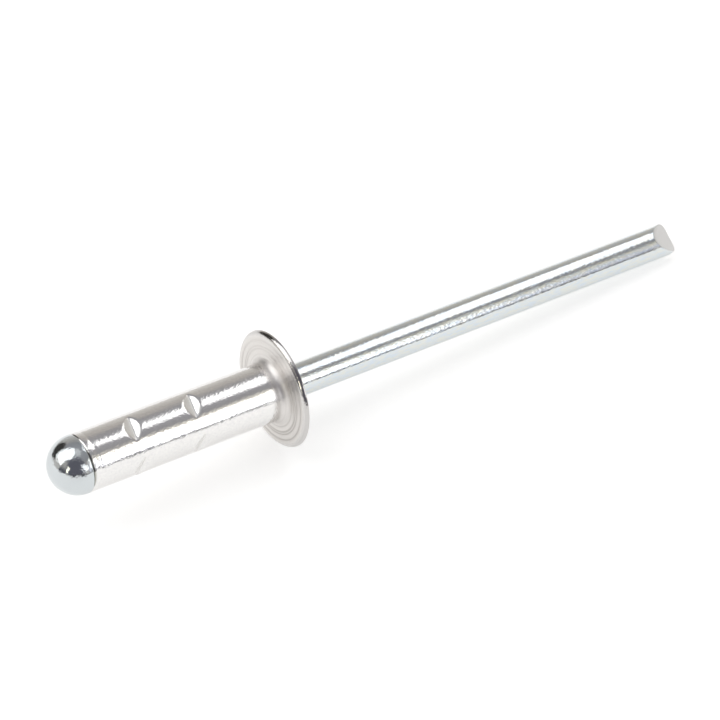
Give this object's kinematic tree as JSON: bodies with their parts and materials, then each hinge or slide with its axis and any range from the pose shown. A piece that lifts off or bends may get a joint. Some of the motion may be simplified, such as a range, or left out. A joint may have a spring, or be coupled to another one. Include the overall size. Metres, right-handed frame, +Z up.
{
  "type": "multi-grip blind rivet",
  "caption": "Unset blind rivet lying on its side: a flanged aluminium tube with rows of grip dents, on a zinc-plated steel mandrel with a domed head and a pinched tail.",
  "frame": {"origin": "on the surface that the rivet lies on, under the middle of its length", "axes": "+X along the rivet from the mandrel's head to its tail, +Z up from the surface; the rivet's own axis dips towards the tail by the angle at which it rests on the flange's rim and the tail"},
  "size_m": [0.0592, 0.0096, 0.0097],
  "materials": {
    "aluminium": "bright, cold-headed and tumbled",
    "zinc_plated_steel": "bright zinc plate with a faint blue and yellow passivate"
  },
  "bodies": {
    "root": {"rivet_body": "aluminium", "mandrel": "zinc_plated_steel"}
  },
  "joints": []
}
